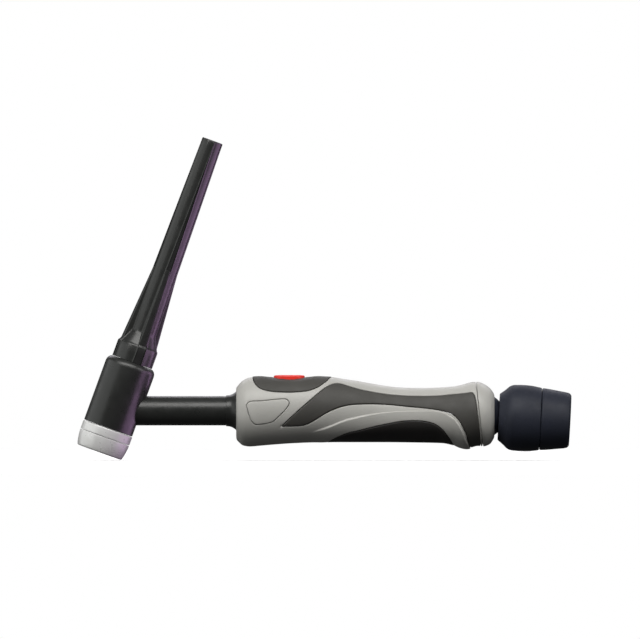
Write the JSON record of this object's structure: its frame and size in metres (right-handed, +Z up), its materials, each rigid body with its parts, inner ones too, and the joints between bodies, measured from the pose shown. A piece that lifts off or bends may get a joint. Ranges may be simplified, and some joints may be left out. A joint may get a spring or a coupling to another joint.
{
  "type": "gas-cooled tig welding torch",
  "caption": "Gas-cooled TIG welding torch with an angled head, long finned back cap, moulded push-button handle and ball-jointed cable sleeve.",
  "frame": {"origin": "middle of the bounding box's underside, with the handle level and the head leaning back over it", "axes": "+X from the head along the neck and handle to the cable sleeve, +Y to the torch's right side, +Z up, the side the button is on"},
  "size_m": [0.2224, 0.0294, 0.1452],
  "materials": {
    "black_plastic": "satin black heat-resistant moulding",
    "shield_white": "smooth off-white fluoropolymer",
    "shell_grey": "fine-grained warm grey moulding",
    "grip_dark": "soft-touch dark grey over-moulding",
    "button_red": "satin red moulding",
    "swivel_navy": "soft navy-black moulding",
    "seal_red": "silicone seal",
    "brass": "machined",
    "steel": "plated",
    "liner_white": "natural acetal",
    "board_green": "resist-coated laminate",
    "lead_black": "flexible insulation"
  },
  "bodies": {
    "torch": {"head_core": "brass", "head_insulation": "black_plastic", "front_insulator": "shield_white", "heat_shield": "shield_white", "neck_tube": "brass", "neck_insulation": "black_plastic", "neck_collar": "black_plastic", "fitting_nut": "brass", "hose_barb": "brass", "handle_shell_left": "shell_grey", "handle_shell_right": "shell_grey", "grip_panel_left": "grip_dark", "grip_panel_right": "grip_dark", "underside_grip": "grip_dark", "badge_left": "shell_grey", "badge_right": "shell_grey", "shell_screw_front": "steel", "shell_screw_rear": "steel", "rear_ring": "shell_grey", "switch_saddle": "grip_dark", "microswitch_body": "lead_black", "button_spring": "steel", "switch_board": "board_green", "switch_lead_left": "lead_black", "switch_lead_right": "lead_black", "lead_connector": "liner_white"},
    "cap": {"back_cap": "black_plastic"},
    "cap_carrier": {"back_cap_seal": "seal_red"},
    "button": {"trigger_button": "button_red"},
    "plunger": {"microswitch_plunger": "button_red"},
    "swivel_socket": {"socket_liner": "liner_white"},
    "swivel": {"swivel_ball": "swivel_navy", "swivel_cone": "swivel_navy", "cable_sleeve": "swivel_navy"}
  },
  "joints": [
    {"name": "cap_lift", "type": "slide", "parent": "torch", "child": "cap_carrier", "axis": [0.342, 0, 0.9397], "range_m": [0, 0.009]},
    {"name": "cap_turn", "type": "hinge", "parent": "cap_carrier", "child": "cap", "pos_m": [-0.08086, 0, 0.05972], "axis": [0.342, 0, 0.9397], "range_deg": [0, 2160]},
    {"name": "button_press", "type": "slide", "parent": "torch", "child": "button", "axis": [0, 0, -1], "range_m": [0, 0.0012], "stiffness_N_per_m": 400, "springref_m": -0.002, "deforming": ["button_spring"]},
    {"name": "plunger_press", "type": "slide", "parent": "torch", "child": "plunger", "axis": [0, 0, -1], "range_m": [0, 0.0012]},
    {"name": "swivel_spin", "type": "hinge", "parent": "torch", "child": "swivel_socket", "pos_m": [0.07096, 0, 0.01978], "axis": [1, 0, 0], "continuous": true},
    {"name": "swivel_tilt", "type": "hinge", "parent": "swivel_socket", "child": "swivel", "pos_m": [0.07096, 0, 0.01978], "axis": [0, 1, 0], "range_deg": [-18, 12]}
  ],
  "couplings": [
    {"joint": "cap_turn", "follows": "cap_lift", "rad_per_m": 4188.8},
    {"joint": "plunger_press", "follows": "button_press", "ratio": 1}
  ]
}
